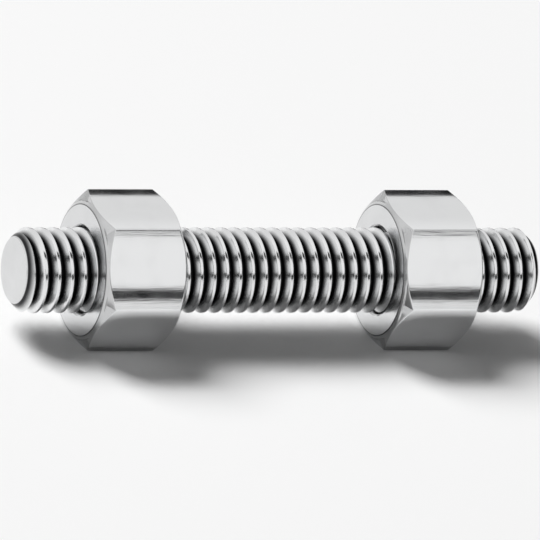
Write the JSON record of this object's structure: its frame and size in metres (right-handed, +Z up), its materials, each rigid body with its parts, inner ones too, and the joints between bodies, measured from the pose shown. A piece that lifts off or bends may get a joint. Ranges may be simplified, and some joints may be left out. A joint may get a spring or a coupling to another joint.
{
  "type": "double ended stud",
  "caption": "Fully threaded double ended stud carrying a plain hexagon nut near each end, for clamping flanges or plates between the nuts.",
  "frame": {"origin": "the middle of the stud, on its axis", "axes": "+X along the stud towards its right end, +Z up, with one flat of each nut facing straight down"},
  "size_m": [0.032, 0.0092, 0.008],
  "materials": {
    "stud_steel": "bright cut thread with fine turning marks",
    "nut_steel": "bright, smooth, lightly brushed flats"
  },
  "bodies": {
    "stud": {"stud": "stud_steel"},
    "left_nut": {"left_nut": "nut_steel"},
    "right_nut": {"right_nut": "nut_steel"}
  },
  "joints": [
    {"name": "left_nut_travel", "type": "slide", "parent": "stud", "child": "left_nut", "axis": [1, 0, 0], "range_m": [-0.008, 0.0064]},
    {"name": "right_nut_travel", "type": "slide", "parent": "stud", "child": "right_nut", "axis": [1, 0, 0], "range_m": [-0.0064, 0.008]}
  ]
}
